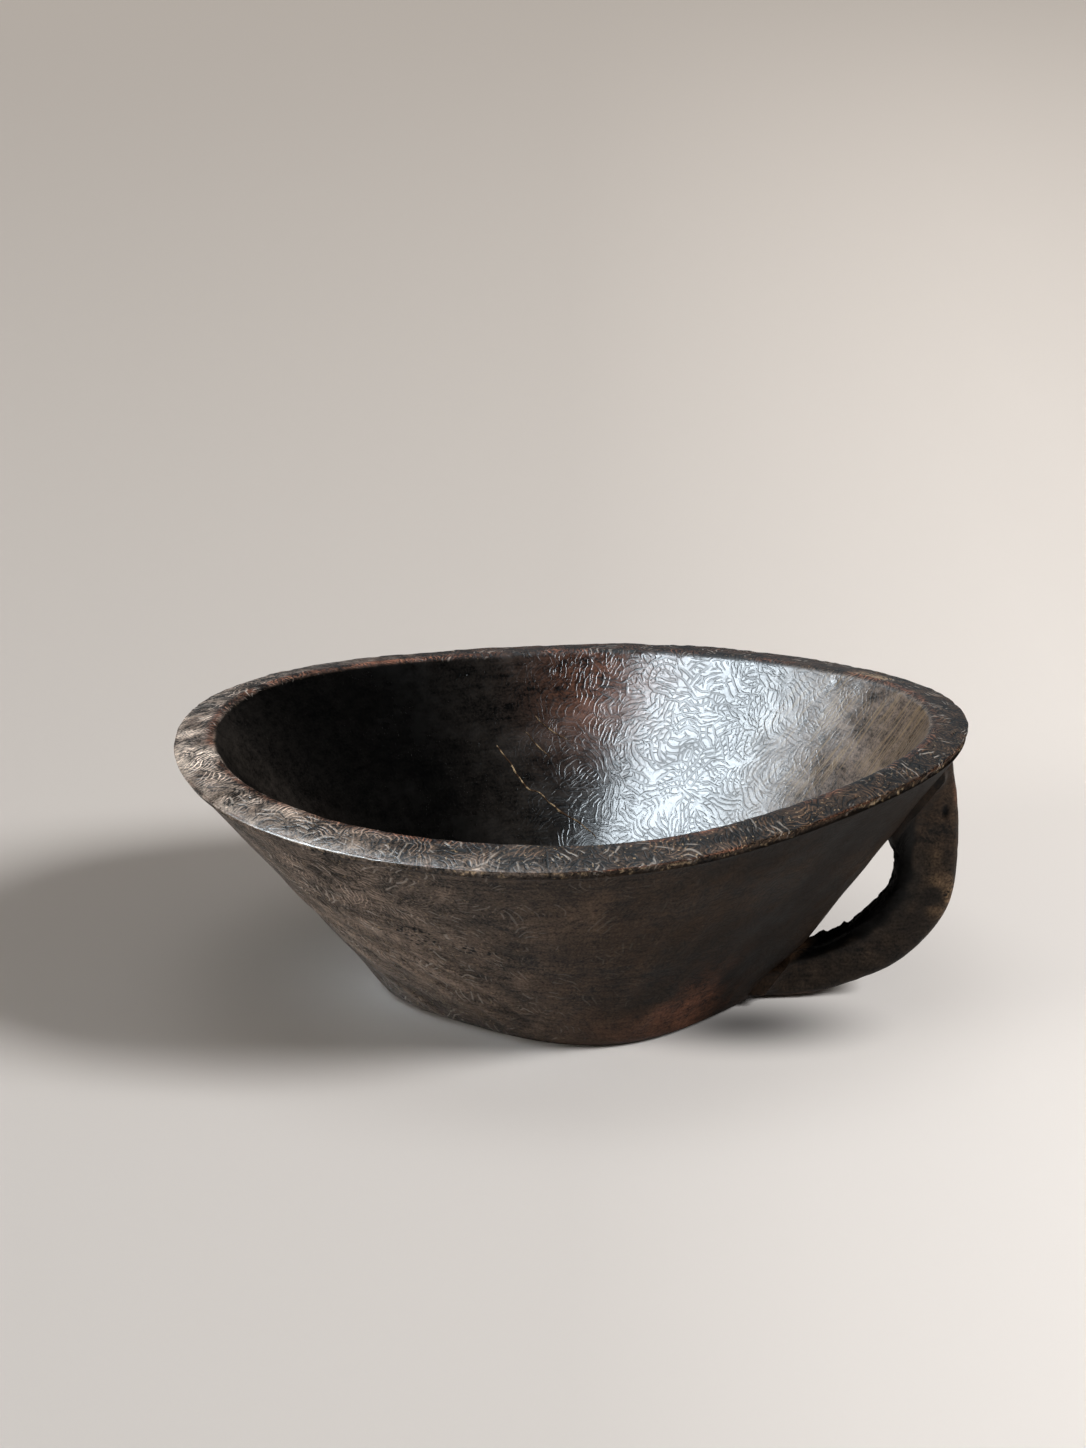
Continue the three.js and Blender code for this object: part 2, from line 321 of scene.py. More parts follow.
def bowl_rows(angle):
    """Rows of (radius, height) at every angle, and each row's zone: a whole number at a corner,
    counted in the order of bowl_corners, and a part between two of them. So 1 is the foot, 4 and
    5 are the lip's lower and upper edge, 6 is the mouth and 7 the hollow's corner."""
    corners = bowl_corners(angle)
    places = [
        np.stack(np.broadcast_arrays(radius, height, angle)[:2], axis=-1) for radius, height, *_ in corners
    ]
    ends = [(places[0], places[0])]
    for before, corner, after, (_, _, length, _, _) in zip(places, places[1:], places[2:], corners[1:]):
        pair = []
        for other in (before, after):
            way = other - corner
            reach = np.linalg.norm(way, axis=-1, keepdims=True)
            pair.append(corner + way / reach * np.minimum(length, reach / 2))
        ends.append(pair)
    ends.append((places[-1], places[-1]))
    rows, zones = [], []
    for number, (corner, (begin, end)) in enumerate(zip(places, ends)):
        bent, straight = corners[number][3:]
        for t in np.arange(bent + 1) / max(bent, 1):
            rows.append(begin * (1 - t) ** 2 + 2 * corner * t * (1 - t) + end * t * t)
            zones.append(number + (t - 0.5) * 0.2 * min(bent, 1))
        for share in np.arange(1, straight) / max(straight, 1):
            rows.append(end * (1 - share) + ends[number + 1][0] * share)
            zones.append(number + 0.1 + 0.8 * share)
    rows, zones = np.array(rows), np.array(zones)
    # Where two roundings meet, they share a row.
    steps = np.linalg.norm(np.diff(rows, axis=0), axis=-1).max(axis=1)
    kept = np.concatenate([[True], steps > SMALLEST])
    return rows[kept], zones[kept]


def wall_depth(points):
    """How deep points lie below the bowl's outside, as if it had no hollow."""
    angle = np.arctan2(points[..., 1], points[..., 0])
    radius = np.hypot(points[..., 0], points[..., 1])
    top, top_height = wall_top_at(angle)
    foot = foot_at(angle)
    slope = (top - foot) / top_height
    in_wall = (foot + slope * points[..., 2] - radius) / np.hypot(slope, 1)
    above_step = points[..., 2] - (rim_height_at(angle) - LIP_EDGE)
    in_lip = np.minimum(above_step, rim_at(angle) - radius)
    return np.maximum(in_wall, in_lip)


def hollow_point(degrees, up):
    """A point on the straight part of the hollow's wall."""
    angle = np.radians(degrees)
    mouth, mouth_height = mouth_corner(angle)
    radius = hollow_corner(angle) * (1 - up) + mouth * up
    height = FLOOR_THICKNESS * (1 - up) + mouth_height * up
    return np.array([radius * np.cos(angle), radius * np.sin(angle), height])


# Meshes

def mesh_object(name, points, faces, **attributes):
    """An object from arrays. Each attribute is a number or a colour for each point."""
    mesh = bpy.data.meshes.new(name)
    sizes = np.array([len(face) for face in faces]) if isinstance(faces, list) else np.full(len(faces), 3)
    corners = np.concatenate(faces) if isinstance(faces, list) else faces.ravel()
    mesh.vertices.add(len(points))
    mesh.vertices.foreach_set("co", np.asarray(points, np.float32).ravel())
    mesh.loops.add(len(corners))
    mesh.loops.foreach_set("vertex_index", np.asarray(corners, np.int32))
    mesh.polygons.add(len(sizes))
    mesh.polygons.foreach_set("loop_start", (np.cumsum(sizes) - sizes).astype(np.int32))
    mesh.update(calc_edges=True)
    mesh.validate()
    mesh.shade_smooth()
    for key, values in attributes.items():
        values = np.asarray(values, np.float32)
        kind, field = ("FLOAT_COLOR", "color") if values.ndim == 2 else ("FLOAT", "value")
        if values.shape[1:] == (3,):
            values = np.column_stack([values, np.ones(len(values))])
        mesh.attributes.new(key, kind, "POINT").data.foreach_set(field, values.astype(np.float32).ravel())
    piece = bpy.data.objects.new(name, mesh)
    bpy.context.collection.objects.link(piece)
    return piece


def row_strides(rows, zones):
    """For each row, every how many columns it has a point. Next to each other, two rows differ
    by a factor of 2 at most."""
    around = 2 * math.pi * rows[:, :, 0].mean(axis=1)
    at_lip = (zones > 3.6) & (zones < 6.15)
    at_bottom = (zones < 0.9) | (zones > 7.2)
    pitch = np.where(at_lip, LIP_PITCH, np.where(at_bottom, 3 * WALL_PITCH, WALL_PITCH))
    wanted = np.clip(around / pitch, FEWEST_COLUMNS, COLUMNS)
    strides = 2 ** np.floor(np.log2(COLUMNS / wanted)).astype(int)
    # No stride can halve more often than this.
    for _ in range(COLUMNS.bit_length()):
        strides[1:] = np.minimum(strides[1:], strides[:-1] * 2)
        strides[:-1] = np.minimum(strides[:-1], strides[1:] * 2)
    return strides


def ring_faces(strides):
    """Triangles between rows, as pairs of row and column. The first and last rows are points."""
    faces = []
    for row in range(len(strides) - 1):
        low, high = strides[row], strides[row + 1]
        step = max(low, high)
        column = np.arange(0, COLUMNS, step)
        half = column + step // 2
        after = (column + step) % COLUMNS
        here, there = row * COLUMNS, (row + 1) * COLUMNS
        if row == 0:
            half = np.arange(0, COLUMNS, high)
            faces.append(np.column_stack([half * 0, there + (half + high) % COLUMNS, there + half]))
        elif row == len(strides) - 2:
            half = np.arange(0, COLUMNS, low)
            faces.append(np.column_stack([there + half * 0, here + half, here + (half + low) % COLUMNS]))
        elif low == high:
            faces.append(np.column_stack([here + column, here + after, there + after]))
            faces.append(np.column_stack([here + column, there + after, there + column]))
        elif low < high:
            faces.append(np.column_stack([here + column, here + half, there + column]))
            faces.append(np.column_stack([here + half, there + after, there + column]))
            faces.append(np.column_stack([here + half, here + after, there + after]))
        else:
            faces.append(np.column_stack([here + column, there + half, there + column]))
            faces.append(np.column_stack([here + column, here + after, there + half]))
            faces.append(np.column_stack([here + after, there + after, there + half]))
    return np.concatenate(faces)


def bowl_cuts(points, turn, zone, along, from_edge):
    """How far the carving stands out from the bowl's smooth form, in metres, and how near each point lies to
    a ridge between two tool marks on the wall, which is painted lighter there and darker in the marks, partly
    as wear and partly as painted shade."""
    # Wall: tool marks all round, and flutes low on the left in front
    wall = ramp(zone, 1, 1.3) * ramp(zone, 3.2, 2.9)
    left_front = toward(turn, -140, 38)
    low_left = left_front * ramp(along, 0.2, 0.12)
    fluted = low_left * flutes(turn, along)
    facets = scoops(turn, along, 44, 30 * MM, -0.4, 7)
    wear_and_shade = wall * (0.5 + 0.8 * fluted - 0.5 * facets * (1 - low_left))
    cuts = wall * (0.7 * (fluted - low_left) - (0.45 - 0.2 * left_front) * facets) * MM
    cuts += wall * 0.25 * MM * (noise(points, 34 * MM, 11) - 1)

    # Hollow
    facets = scoops(turn, along, 30, 24 * MM, 0.3, 19)
    cuts += ramp(zone, 6.05, 6.4) * (0.45 * noise(points, 38 * MM, 23) - 0.22 * facets) * MM

    # Lip: uneven, worn and chipped along its outer edge, frayed below it, dented at the mouth
    rim = ramp(zone, 3.6, 4) * ramp(zone, 6.3, 5.9)
    cuts += rim * 0.35 * MM * (noise(points, 22 * MM, 31) - 0.9)
    rounding = np.clip(1 - np.abs(from_edge) / EDGE_WEAR, 0, 1) ** 2
    cuts -= EDGE_WEAR_DEPTH * rounding * toward(turn, -135, 48)
    at_edge = ramp(zone, 3.8, 4) * ramp(zone, 5.5, 5.1) * (1 - 0.7 * toward(turn, -140, 42))
    chipped = ramp(noise(points, 8 * MM, 29), 0.35, 0.75)
    cuts += at_edge * (0.3 * (noise(points, 4 * MM, 37) - 0.8) - 0.8 * chipped) * MM
    fray = np.abs(noise(points, 1.3 * MM, 41, (1, 1, 3)))
    cuts -= bell(zone, 4, 0.35) * fray * MM
    dented = ramp(noise(points, 5 * MM, 47), 0.5, 0.8)
    cuts += bell(zone, 6, 0.25) * (0.25 * noise(points, 7 * MM, 43) - 0.2 * dented) * MM
    return cuts, wear_and_shade


def outside_paint(turn, height, cloud, wear_and_shade):
    """Brown wood with a rusty patch low on the right. The grey on the left in front is partly wear and partly
    a painted sheen, brighter higher up. Ridges are painted lighter and tool marks darker, partly as painted
    shade, and the right in front is painted darker as painted shade.
    """
    brown = 0.5 * toward(turn, -95, 30) + 0.3 * toward(turn, 90, 60) + 0.5 * (cloud - 0.5)
    colour = mixed(DARK, BROWN, np.clip(brown, 0, 1))
    grey = toward(turn, -150, 42) * (0.5 + 0.3 * ramp(height, 0.02, 0.09) + 0.5 * (cloud - 0.5))
    # Painted light and shade, partly wear: lighter on ridges between tool marks, darker in the marks
    colour = mixed(colour, GREY, np.clip(grey, 0, 1)) * (0.65 + 0.8 * wear_and_shade)[:, None]
    # Painted shade: darker towards the right in front
    colour *= (1 - 0.3 * toward(turn, -30, 55))[:, None]
    rusty = toward(turn, -62, 16) * bell(height, 0.016, 0.018) * ramp(cloud, 0.35, 0.7)
    return mixed(colour, RUST, 0.6 * rusty)


def inside_paint(turn, zone, right):
    """Dark wood with a rusty patch under the mouth behind. Painted shade makes the hollow nearly black on its
    left, in front and at its bottom, and a painted sheen makes it grey on the right.
    """
    from_back = away(turn, 90)
    black = ramp(from_back, 5, 38) + ramp(from_back, -110, -150) - 0.8 * toward(turn, -178, 16)
    colour = mixed(DEEP, PAINTED_SHADE_BLACK, np.clip(black + ramp(zone, 6.9, 7.1), 0, 1))
    colour = mixed(colour, RUST, 0.85 * toward(turn, 82, 12) * bell(zone, 6.25, 0.3))
    # Painted sheen: grey on the right of the hollow
    return mixed(colour, mixed(BROWN, GREY, 0.9), right)


def lip_paint(points, turn, zone, cloud, polished_and_highlit):
    """Brown wood in patches with rusty edges, darker behind. The grey and paler colour on the left is a
    painted sheen, and the paler polished edge is a painted highlight.
    """
    back = toward(turn, 90, 60)
    patches = 0.5 + 0.5 * noise(points, 9 * MM, 54)
    colour = mixed(DARK, BROWN, np.clip(0.1 + patches, 0, 1))
    # Painted sheen: greyer, paler and lighter on the left
    colour = mixed(colour, GREY, np.clip(0.45 + 0.7 * patches, 0, 1) * toward(turn, -175, 50))
    colour = mixed(colour, PALE, np.clip(0.7 * patches - 0.1, 0, 0.5) * toward(turn, -178, 38))
    colour *= (1 - 0.5 * back + 0.6 * toward(turn, -175, 42))[:, None]
    pale = toward(turn, 24, 4) * bell(zone, 5.75, 0.25) * ramp(patches, 0.3, 0.6)
    colour = mixed(colour, TAN, 0.6 * pale)
    at_edges = bell(zone, 5.97, 0.09) + bell(zone, 4.9, 0.12)
    rusty = 0.9 * at_edges * ramp(cloud, 0.2, 0.6) + 0.4 * back * patches
    colour = mixed(colour, RUST, np.clip(rusty, 0, 1))
    # Painted highlight: paler along the polished edge
    return mixed(colour, PALE, 0.7 * polished_and_highlit * patches)


def bowl_paint(points, turn, zone, from_edge, wear_and_shade):
    """The colour of the wood at each point, and how strong each of its other looks is there."""
    height = points[:, 2]
    cloud = 0.5 + 0.5 * rough_noise(points, 40 * MM, 53)
    left_front = toward(turn, -150, 42)
    right = ramp(np.abs(away(turn, 5)), 45, 20) * ramp(zone, 7.1, 6.8)
    # The lip's polished outer edge on the left in front, which is also painted paler as a painted highlight
    polished_and_highlit = bell(from_edge, 0, 5 * MM) * toward(turn, -140, 42)
    colour = outside_paint(turn, height, cloud, wear_and_shade)
    # Painted shadow: the step under the lip is near black, except on the left in front
    colour = mixed(colour, PAINTED_SHADE_BLACK, 0.8 * bell(zone, 3.5, 0.5) * (1 - left_front))
    colour = mixed(colour, lip_paint(points, turn, zone, cloud, polished_and_highlit), ramp(zone, 3.9, 4.1))
    fibres = bell(zone, 4.05, 0.2) * ramp(noise(points, 1.6 * MM, 51), 0.2, 0.6)
    colour = mixed(colour, TAN, 0.55 * fibres * ramp(noise(points, 14 * MM, 52), -0.3, 0.3))
    colour = mixed(colour, inside_paint(turn, zone, right), ramp(zone, 5.98, 6.08))

    is_lip = ramp(zone, 3.9, 4.2) * ramp(zone, 6.1, 6)
    is_inside = ramp(zone, 6, 6.1)
    is_outside = (1 - is_inside) * (1 - is_lip)
    used_side = ramp(away(turn, 90), 32, -8) * ramp(away(turn, 90), -150, -110)
    cut = 0.25 + 0.3 * left_front * is_outside + is_lip * (0.75 - 0.7 * polished_and_highlit)
    cut += is_inside * (0.6 * used_side - 0.4 * right - 0.15)
    shine = 0.15 + 0.8 * left_front + is_inside * (0.9 - 0.15 * right)
    shine += is_lip * (0.3 - 0.9 * toward(turn, 0, 70) - 0.35 * left_front + 0.2 * polished_and_highlit)
    worms = toward(turn, -121, 5) * bell(height, 0.06, 0.009)
    worms = np.maximum(worms, toward(turn, -110, 6) * bell(height, 0.058, 0.003))
    # Pale flecks. On the wall at the left in front they also stand for painted glints
    specks = is_lip * (0.4 + 0.6 * toward(turn, -75, 40)) + 0.9 * left_front * is_outside
    hatch = is_lip * (1 - polished_and_highlit) + 0.85 * left_front * ramp(height, 0.03, 0.08) * is_outside
    nicks = is_lip * (1 - polished_and_highlit) * (1 + 0.6 * toward(turn, -178, 50)) + 1.2 * left_front * is_outside
    streaks = right * ramp(zone, 6.95, 6.4) * is_inside * ramp(noise(points, 26 * MM, 60), -0.4, 0.3)
    return {
        "paint": colour,
        "cut": cut,
        "shine": shine,
        "worms": 1.1 * worms * is_outside,
        "specks": specks,
        "hatch": hatch,
        "nicks": nicks,
        "smooth": polished_and_highlit,
        "streaks": streaks,
    }


def make_bowl():
    angle = np.arange(COLUMNS) / COLUMNS * 2 * math.pi
    rows, zones = bowl_rows(angle)
    strides = row_strides(rows, zones)
    grid = np.stack([rows[..., 0] * np.cos(angle), rows[..., 0] * np.sin(angle), rows[..., 1]], axis=-1)
    round_way = np.roll(grid, -1, axis=1) - np.roll(grid, 1, axis=1)
    normals = np.cross(round_way, np.gradient(grid, axis=0))
    normals[0], normals[-1] = (0, 0, -1), (0, 0, 1)
    normals /= np.linalg.norm(normals, axis=-1, keepdims=True)
    along = np.cumsum(np.linalg.norm(np.diff(rows, axis=0, prepend=rows[:1]), axis=-1), axis=0)

    faces = ring_faces(strides)
    used, faces = np.unique(faces, return_inverse=True)
    faces = faces.reshape(-1, 3)
    points = grid.reshape(-1, 3)[used]
    turn = np.degrees(np.tile(angle, len(zones)))[used]
    zone = np.repeat(zones, COLUMNS)[used]
    from_edge = (along - along[np.abs(zones - 5).argmin()]).ravel()[used]
    cuts, wear_and_shade = bowl_cuts(points, turn, zone, along.ravel()[used], from_edge)
    points = points + normals.reshape(-1, 3)[used] * cuts[:, None]
    points[:, 2] = np.maximum(points[:, 2], 0)
    looks = bowl_paint(points, turn, zone, from_edge, wear_and_shade)
    return mesh_object("bowl_wood_carved", points, faces, **looks)


def handle_line(count):
    """Points (x, z) of the handle's middle line, from inside the foot to inside the lip."""
    rim_angle = math.atan2(-HANDLE_OFFSET, RIM_RADIUS)
    foot = foot_at(math.atan2(-HANDLE_OFFSET, FOOT_RADIUS)) * math.cos(rim_angle)
    reach = rim_at(rim_angle) * math.cos(rim_angle) - HANDLE_INSET - HANDLE_WIDTH / 2
    top = rim_height_at(rim_angle) - LIP_EDGE
    low = HANDLE_CLEARANCE + HANDLE_FOOT_WIDTH / 2
    points = [(foot + (reach - foot) * out, low + (top - low) * up) for out, up in HANDLE_CURVE]
    return smooth_line(points, count)


def handle_section(width, thickness):
    """The points (out, side) of a rectangle with its corners cut off and rounded."""
    a, b = width / 2, thickness / 2
    outer, inner = HANDLE_OUTER_CHAMFER, HANDLE_INNER_CHAMFER
    outer_cut, inner_cut = outer * CHAMFER_BULGE, inner * CHAMFER_BULGE
    upper = [(a, b - outer), (a - outer_cut, b - outer_cut), (a - outer, b)]
    upper += [(inner - a, b), (inner_cut - a, b - inner_cut), (-a, b - inner)]
    points = np.array(upper + [(out, -side) for out, side in reversed(upper)])
    for _ in range(3):
        after = np.roll(points, -1, axis=0)
        points = np.column_stack([points * 0.75 + after * 0.25, points * 0.25 + after * 0.75]).reshape(-1, 2)
    closed = np.vstack([points, points[:1]])
    length = np.concatenate([[0], np.cumsum(np.linalg.norm(np.diff(closed, axis=0), axis=1))])
    at = np.arange(HANDLE_COLUMNS) / HANDLE_COLUMNS * length[-1]
    return np.column_stack([np.interp(at, length, closed[:, i]) for i in range(2)])


def tube_normals(grid):
    normals = np.cross(np.roll(grid, -1, axis=1) - np.roll(grid, 1, axis=1), np.gradient(grid, axis=0))
    return normals / np.maximum(np.linalg.norm(normals, axis=-1, keepdims=True), SMALLEST**2)


def tube_faces(rows, columns):
    """Quads of a closed tube, with a fan at both ends over two points that follow the grid's."""
    faces = []
    for row in range(rows - 1):
        here, there = row * columns, (row + 1) * columns
        for i in range(columns):
            j = (i + 1) % columns
            faces.append((here + i, here + j, there + j, there + i))
    last = (rows - 1) * columns
    for i in range(columns):
        j = (i + 1) % columns
        faces.append((rows * columns, j, i))
        faces.append((rows * columns + 1, last + i, last + j))
    return faces


def tube_points(grid):
    return np.vstack([grid.reshape(-1, 3), grid[0].mean(axis=0), grid[-1].mean(axis=0)])


def handle_grid():
    """Rows of points along the handle, still reaching into the bowl, and how far each point
    faces the bowl, from -1 to 1."""
    line = handle_line(HANDLE_ROWS)
    way = np.gradient(line, axis=0)
    way /= np.linalg.norm(way, axis=1, keepdims=True)
    grid = np.zeros((HANDLE_ROWS, HANDLE_COLUMNS, 3))
    inward = np.zeros((HANDLE_ROWS, HANDLE_COLUMNS))
    for row, share in enumerate(np.linspace(0, 1, HANDLE_ROWS)):
        end_width = HANDLE_FOOT_WIDTH if share < 0.5 else HANDLE_LIP_WIDTH
        width = HANDLE_WIDTH + (end_width - HANDLE_WIDTH) * (2 * share - 1) ** 2
        thickness = HANDLE_THICKNESS + (HANDLE_ROOT_THICKNESS - HANDLE_THICKNESS) * (2 * share - 1) ** 4
        out, side = handle_section(width, thickness).T
        # Straight out from the line, which runs up, is to the right of its way.
        grid[row, :, 0] = line[row, 0] + out * way[row, 1]
        grid[row, :, 1] = side - HANDLE_OFFSET
        grid[row, :, 2] = line[row, 1] - out * way[row, 0]
        inward[row] = -2 * out / width
    return grid, inward


def with_roots(grid, inward):
    """The handle flared where its faces meet the wall, with the finger hole's ends shaped."""
    shares = np.linspace(0, 1, HANDLE_ROWS)
    depth = wall_depth(grid)
    normals = tube_normals(grid)
    near = np.clip(ROOT_FLARE + depth, 0, ROOT_FLARE)
    near *= ramp(inward, -0.9, -0.5) * ramp(normals[..., 2], -0.7, -0.1)
    flare = ROOT_FLARE - np.sqrt(ROOT_FLARE**2 - near**2)
    reach = (HOLE_CLOSE * shares**1.5 + SMALLEST)[:, None]
    closing = reach * bell(np.minimum(depth, 0), 0, reach)
    opening = HOLE_OPEN * bell(shares, 0.29, 0.12)[:, None]
    in_hole = ramp(inward, 0.4, 0.8)
    return grid + normals * (flare * (1 - in_hole) + (closing - opening) * in_hole)[..., None]


def cut_to_bowl(grid, inward):
    """The same rows spread anew, so that each column runs from the wall to the lip."""
    depth = wall_depth(grid) - HANDLE_SINK
    half = HANDLE_ROWS // 2
    rows = np.arange(HANDLE_ROWS)[:, None]
    columns = np.arange(HANDLE_COLUMNS)
    start = np.where((depth > 0) & (rows < half), rows, 0).max(axis=0)
    finish = np.where((depth > 0) & (rows > half), rows, HANDLE_ROWS - 1).min(axis=0)
    start = start + depth[start, columns] / (depth[start, columns] - depth[start + 1, columns])
    finish = finish - depth[finish, columns] / (depth[finish, columns] - depth[finish - 1, columns])
    at = start + (finish - start) * np.linspace(0, 1, HANDLE_ROWS)[:, None]
    low = np.clip(np.floor(at).astype(int), 0, HANDLE_ROWS - 2)
    part = (at - low)[..., None]
    return grid[low, columns] * (1 - part) + grid[low + 1, columns] * part, inward[low, columns]


def handle_paint(points, inward, away_from_wall, torn, knot):
    """The colour of the wood at each point, and its other looks, which are those of the bowl."""
    cloud = 0.5 + 0.5 * rough_noise(points, 25 * MM, 79)
    height = points[:, 2]
    colour = mixed(DARK, CHARCOAL, np.clip(0.5 + cloud, 0, 1))
    colour = mixed(colour, BROWN, 0.2 * ramp(height, 0.05, 0.015) * cloud + 0.35 * ramp(height, 0.055, 0.085))
    scraped = bell(height, 0.048, 0.018) * ramp(cloud, 0.2, 0.5) * ramp(-inward, -0.3, 0.4)
    colour = mixed(colour, OLIVE, 0.9 * scraped)
    outer = ramp(-inward, 0.75, 0.97)
    colour = mixed(colour, RUST, 0.35 * outer * ramp(cloud, 0.4, 0.8))
    at_wall = ramp(-wall_depth(points), 12 * MM, 0)
    colour = mixed(colour, mixed(DARK, BROWN, np.clip(0.5 * (cloud - 0.5), 0, 1)), at_wall)
    # Painted shade: near black on the faces inside the finger hole and in the knot hole
    painted_hole_shade = ramp(inward + 0.15 * noise(points, 6 * MM, 77), 0.35, 0.6) * away_from_wall
    colour = mixed(colour, PAINTED_SHADE_BLACK, np.clip(painted_hole_shade + 2 * knot, 0, 1))
    none = np.zeros(len(points))
    return {
        "paint": colour,
        "cut": 0.25 + 0.4 * scraped,
        "shine": 0.35 * (1 - torn),
        "worms": none,
        "specks": 0.1 * scraped,
        "hatch": 0.2 + 0.3 * scraped,
        "nicks": none,
        "smooth": none,
        "streaks": none,
    }


def make_handle():
    grid, inward = handle_grid()
    grid, inward = cut_to_bowl(with_roots(grid, inward), inward)
    points = grid.reshape(-1, 3)
    normals = tube_normals(grid).reshape(-1, 3)
    inward = inward.ravel()
    away_from_wall = ramp(-wall_depth(points), 0, 4 * MM)
    torn = ramp(inward, 0.55, 0.85) * away_from_wall
    cuts = 0.4 * (noise(points, 16 * MM, 61) - 0.4) + 0.12 * noise(points, 3.5 * MM, 67)
    cuts -= torn * 0.9 * ramp(noise(points, 6 * MM, 71), -0.3, 0.7)
    cuts -= torn * 0.7 * np.abs(noise(points, 2.2 * MM, 73))
    knot = np.exp(-(((points - KNOT) / KNOT_SIZE) ** 2).sum(axis=1))
    cuts -= 1.8 * knot
    points = points + normals * (cuts * away_from_wall * MM)[:, None]
    points[:, 2] = np.maximum(points[:, 2], HANDLE_CLEARANCE / 2)
    looks = handle_paint(points, inward, away_from_wall, torn, knot)
    # The two points that close the tube's ends look like the first two.
    looks = {key: np.concatenate([values, values[:2]]) for key, values in looks.items()}
    points = tube_points(points.reshape(grid.shape))
    return mesh_object("handle_loop", points, tube_faces(HANDLE_ROWS, HANDLE_COLUMNS), **looks)


def make_thread(name, path, surface):
    """A ragged thread of filler that lies half sunk in the hollow's wall."""
    corners = np.array([hollow_point(degrees, up) for degrees, up in path])
    length = np.linalg.norm(np.diff(corners, axis=0), axis=1).sum()
    line = smooth_line(corners, int(length / FILL_PITCH))
    # It wanders, and then follows the carved wall, with each normal averaged over its neighbours.
    for axis in range(3):
        line[:, axis] += 0.7 * MM * noise(line, 5 * MM, 83 + axis)
    rows = len(line)
    found = [surface.find_nearest(Vector(point)) for point in line]
    line = np.array([place for place, *_ in found])
    up = np.array([normal for _, normal, *_ in found])
    up = np.array([up[max(row - 4, 0): row + 5].mean(axis=0) for row in range(rows)])
    way = np.gradient(line, axis=0)
    side = np.cross(way, up)
    side /= np.linalg.norm(side, axis=1, keepdims=True)
    # Its thickness varies, and falls off towards both ends.
    share = np.linspace(0, 1, rows)
    swell = (0.75 + 0.35 * noise(line, 2.2 * MM, 89)) * (0.35 + 0.65 * np.sqrt(np.sin(np.pi * share)))
    turn = np.arange(FILL_SIDES) / FILL_SIDES * 2 * math.pi
    reach = (FILL_RADIUS * swell * (1 if rows > LONG_THREAD else 0.7))[:, None, None]
    grid = line[:, None] + reach * (
        side[:, None] * np.cos(turn)[:, None] + 0.7 * up[:, None] * np.sin(turn)[:, None]
    )
    fresh = np.full(rows * FILL_SIDES + 2, 0.9 if rows > LONG_THREAD else 0.5)
    return mesh_object(name + "_thread", tube_points(grid), tube_faces(rows, FILL_SIDES), fresh=fresh)


# Materials

# Sockets of a Mix node that mixes colours
MIX_SHARE = 0
MIX_FIRST = 6
MIX_SECOND = 7
MIX_RESULT = 2


class Wire:
    """A node's output. Arithmetic on it adds Math nodes to its material."""

    def __init__(self, graph, socket):
        self.graph = graph
        self.socket = socket

    def __add__(self, other):
        return self.graph.math("ADD", self, other)

    def __sub__(self, other):
        return self.graph.math("SUBTRACT", self, other)

    def __mul__(self, other):
        return self.graph.math("MULTIPLY", self, other)

    def __rsub__(self, other):
        return self.graph.math("SUBTRACT", other, self)

    __radd__ = __add__
    __rmul__ = __mul__


